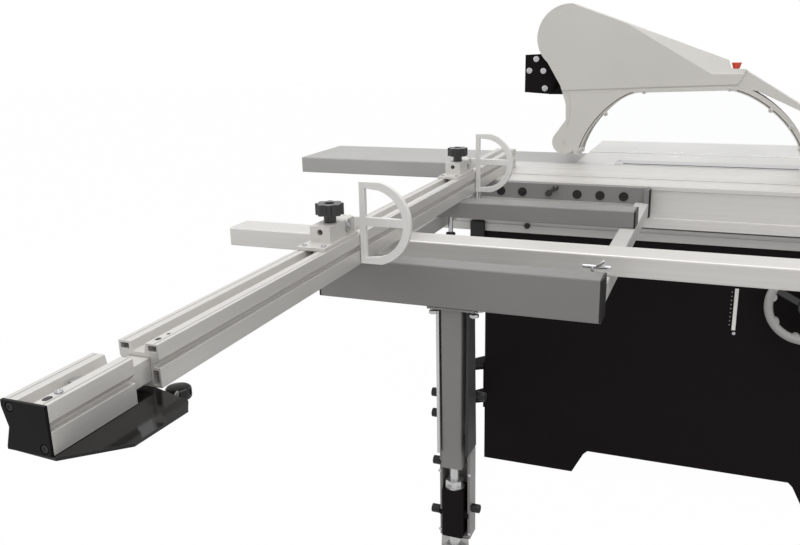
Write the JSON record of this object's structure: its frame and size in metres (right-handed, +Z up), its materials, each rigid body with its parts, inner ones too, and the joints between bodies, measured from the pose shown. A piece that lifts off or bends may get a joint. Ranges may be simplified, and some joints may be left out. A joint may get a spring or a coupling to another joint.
{
  "type": "sliding table saw",
  "caption": "Sliding table saw with a black cabinet, aluminium carriage, outrigger with a crosscut fence and flip stops, swing arm, tilting blade and overhead guard.",
  "frame": {"origin": "bottom centre of the whole outline, on the floor", "axes": "+X to the right of the operator, +Y in the feed direction, +Z up"},
  "size_m": [2.708, 2.405, 1.368],
  "materials": {
    "black_paint": "fine textured black",
    "grey_paint": "smooth mid grey",
    "pale_paint": "smooth pale grey",
    "cast_table": "ground",
    "cast_dark": "as cast",
    "alloy": "anodised",
    "steel": "brushed",
    "bright": "polished",
    "black_plastic": "satin",
    "guard_plastic": "satin warm grey",
    "clear": "clear plastic",
    "red_plastic": "satin",
    "green_plastic": "satin",
    "belt": "matt",
    "silver": "silver enamel"
  },
  "bodies": {
    "base": {"cabinet": "black_paint", "main_table": "cast_table", "table_insert": "steel", "rear_table": "grey_paint", "base_rail": "pale_paint", "rail_saddles": "black_plastic", "trunnions": "cast_dark", "rip_rail": "bright", "dust_port": "black_plastic", "switch_box": "black_plastic", "guard_boom": "pale_paint", "guard_bracket": "black_paint", "arm_bracket": "black_paint"},
    "start": {"start_button": "green_plastic"},
    "stop": {"stop_button": "red_plastic"},
    "carriage": {"carriage": "alloy", "hook_channel": "grey_paint", "outer_beam": "grey_paint", "inner_beam": "grey_paint", "cross_bars": "pale_paint", "beam_caps": "black_plastic", "support_beam": "alloy", "crosscut_fence": "alloy", "fence_clamps": "bright", "post": "grey_paint", "post_plates": "steel", "end_bracket": "grey_paint", "anchor_block": "black_paint", "post_rod": "steel"},
    "frame_lever": {"wing_lever": "bright"},
    "channel_lever": {"channel_knob": "black_plastic"},
    "extension": {"fence_extension": "alloy", "extension_cap": "black_plastic", "extension_plate": "black_paint"},
    "extension_clamp": {"extension_handle": "black_plastic"},
    "outer_stop": {"stop_block_1": "alloy"},
    "outer_flag": {"stop_flag_1": "silver"},
    "outer_stop_knob": {"stop_knob_1": "black_plastic"},
    "inner_stop": {"stop_block_2": "alloy"},
    "inner_flag": {"stop_flag_2": "silver"},
    "inner_stop_knob": {"stop_knob_2": "black_plastic"},
    "arm": {"swing_arm": "grey_paint"},
    "inner_arm": {"arm_slide": "pale_paint"},
    "tilt": {"tilt_cradle": "cast_dark"},
    "scoring": {"scoring_blade": "steel"},
    "lift": {"arbor_slide": "cast_dark", "motor": "grey_paint", "drive_belt": "belt", "riving_knife": "steel"},
    "main_arbor": {"arbor": "steel", "saw_blade": "steel"},
    "motor_shaft": {"motor_pulley": "steel"},
    "lift_handwheel": {"height_wheel": "pale_paint"},
    "tilt_handwheel": {"tilt_wheel": "pale_paint"},
    "guard": {"guard_shell": "guard_plastic", "guard_windows": "clear"},
    "guard_lock": {"guard_knob": "red_plastic"},
    "rip": {"rip_head": "grey_paint"},
    "rip_fence": {"rip_plate": "alloy"},
    "rip_lock": {"rip_lever": "black_plastic"}
  },
  "joints": [
    {"name": "carriage_slide", "type": "slide", "parent": "base", "child": "carriage", "axis": [0, 1, 0], "range_m": [-0.7, 0.6]},
    {"name": "arm_swing", "type": "hinge", "parent": "base", "child": "arm", "pos_m": [0.349, 0.5165, 0.245], "axis": [0, 0, 1], "range_deg": [-37, 40]},
    {"name": "arm_extend", "type": "slide", "parent": "arm", "child": "inner_arm", "axis": [-0.9523, -0.3052, 0], "range_m": [-0.18, 0.22]},
    {"name": "extension_slide", "type": "slide", "parent": "carriage", "child": "extension", "axis": [-1, 0, 0], "range_m": [-0.044, 0.7]},
    {"name": "extension_clamp_turn", "type": "hinge", "parent": "extension", "child": "extension_clamp", "pos_m": [-1.2, 0.3625, 0.88], "axis": [0, 0, 1], "range_deg": [-90, 90]},
    {"name": "frame_lever_turn", "type": "hinge", "parent": "carriage", "child": "frame_lever", "pos_m": [-0.498, -0.0095, 0.88], "axis": [0, 0, 1], "range_deg": [-90, 90]},
    {"name": "channel_lever_turn", "type": "hinge", "parent": "carriage", "child": "channel_lever", "pos_m": [0.319, 0.2375, 0.863], "axis": [-1, 0, 0], "range_deg": [-90, 90]},
    {"name": "outer_stop_slide", "type": "slide", "parent": "carriage", "child": "outer_stop", "axis": [1, 0, 0], "range_m": [-0.42, 0.55]},
    {"name": "outer_flag_flip", "type": "hinge", "parent": "outer_stop", "child": "outer_flag", "pos_m": [-0.585, 0.4235, 0.97], "axis": [-1, 0, 0], "range_deg": [0, 170]},
    {"name": "outer_knob_turn", "type": "hinge", "parent": "outer_stop", "child": "outer_stop_knob", "pos_m": [-0.648, 0.4235, 0.99], "axis": [0, 0, 1], "range_deg": [-180, 180]},
    {"name": "inner_stop_slide", "type": "slide", "parent": "carriage", "child": "inner_stop", "axis": [1, 0, 0], "range_m": [-0.5, 0.4]},
    {"name": "inner_flag_flip", "type": "hinge", "parent": "inner_stop", "child": "inner_flag", "pos_m": [0.147, 0.4235, 0.97], "axis": [-1, 0, 0], "range_deg": [0, 170]},
    {"name": "inner_knob_turn", "type": "hinge", "parent": "inner_stop", "child": "inner_stop_knob", "pos_m": [0.084, 0.4235, 0.99], "axis": [0, 0, 1], "range_deg": [-180, 180]},
    {"name": "blade_tilt", "type": "hinge", "parent": "base", "child": "tilt", "pos_m": [0.724, -0.1075, 0.89], "axis": [0, 1, 0], "range_deg": [0, 45]},
    {"name": "blade_lift", "type": "slide", "parent": "tilt", "child": "lift", "axis": [0, 0, 1], "range_m": [0, 0.09]},
    {"name": "main_spin", "type": "hinge", "parent": "lift", "child": "main_arbor", "pos_m": [0.724, -0.1075, 0.732], "axis": [1, 0, 0], "continuous": true},
    {"name": "motor_spin", "type": "hinge", "parent": "lift", "child": "motor_shaft", "pos_m": [0.724, -0.1075, 0.56], "axis": [1, 0, 0], "continuous": true},
    {"name": "scoring_spin", "type": "hinge", "parent": "tilt", "child": "scoring", "pos_m": [0.724, -0.3425, 0.8245], "axis": [1, 0, 0], "continuous": true},
    {"name": "height_wheel_turn", "type": "hinge", "parent": "base", "child": "lift_handwheel", "pos_m": [0.311, -0.4315, 0.605], "axis": [1, 0, 0], "range_deg": [0, 1800]},
    {"name": "tilt_wheel_turn", "type": "hinge", "parent": "base", "child": "tilt_handwheel", "pos_m": [0.874, -0.8165, 0.56], "axis": [0, 1, 0], "range_deg": [0, 5400]},
    {"name": "guard_raise", "type": "hinge", "parent": "base", "child": "guard", "pos_m": [0.724, 0.2875, 1.18], "axis": [-1, 0, 0], "range_deg": [0, 13]},
    {"name": "guard_lock_turn", "type": "hinge", "parent": "guard", "child": "guard_lock", "pos_m": [0.724, -0.2135, 1.182], "axis": [0, 0, 1], "range_deg": [-180, 180]},
    {"name": "rip_slide", "type": "slide", "parent": "base", "child": "rip", "axis": [1, 0, 0], "range_m": [-0.25, 0.12]},
    {"name": "rip_fence_slide", "type": "slide", "parent": "rip", "child": "rip_fence", "axis": [0, 1, 0], "range_m": [-0.1, 0.45]},
    {"name": "rip_lock_turn", "type": "hinge", "parent": "rip", "child": "rip_lock", "pos_m": [1.114, -0.6975, 0.864], "axis": [0, 1, 0], "range_deg": [-75, 75]},
    {"name": "start_press", "type": "slide", "parent": "base", "child": "start", "axis": [0, 1, 0], "range_m": [0, 0.005], "stiffness_N_per_m": 800},
    {"name": "stop_press", "type": "slide", "parent": "base", "child": "stop", "axis": [0, 1, 0], "range_m": [0, 0.005], "stiffness_N_per_m": 800}
  ],
  "couplings": [
    {"joint": "arm_swing", "follows": "carriage_slide", "rad_per_m": -0.9076},
    {"joint": "arm_extend", "follows": "carriage_slide", "ratio": -0.297},
    {"joint": "motor_spin", "follows": "main_spin", "ratio": 0.7},
    {"joint": "height_wheel_turn", "follows": "blade_lift", "rad_per_m": 349},
    {"joint": "tilt_wheel_turn", "follows": "blade_tilt", "ratio": 120}
  ]
}
